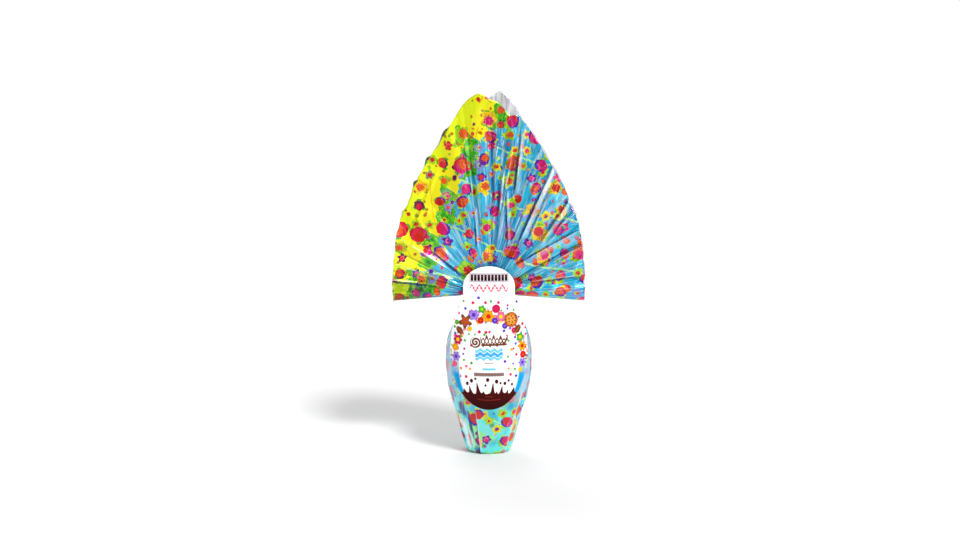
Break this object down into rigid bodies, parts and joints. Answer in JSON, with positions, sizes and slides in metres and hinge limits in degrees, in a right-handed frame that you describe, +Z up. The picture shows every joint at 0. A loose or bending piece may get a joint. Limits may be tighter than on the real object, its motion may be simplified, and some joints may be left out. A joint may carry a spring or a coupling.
{
  "type": "wrapped chocolate easter egg",
  "caption": "Chocolate egg in a cup, wrapped in printed film that is tied at the neck and opened into a tall pleated fan, with an egg-shaped card label in front.",
  "frame": {"origin": "centre of the flat foot, on the surface that the egg stands on", "axes": "+Z up the egg's axis to the fan; the label faces -Y and the fan spreads along X"},
  "size_m": [0.221, 0.0992, 0.4133],
  "materials": {
    "printed_film": "metallised film, printed blue outside and silver inside, glossy and creased",
    "card": "white card, printed, with a light gloss",
    "tie": "white plastic tie, smooth"
  },
  "bodies": {
    "root": {"wrapped_egg": "printed_film", "label_card": "card", "neck_tie": "tie"}
  },
  "joints": []
}
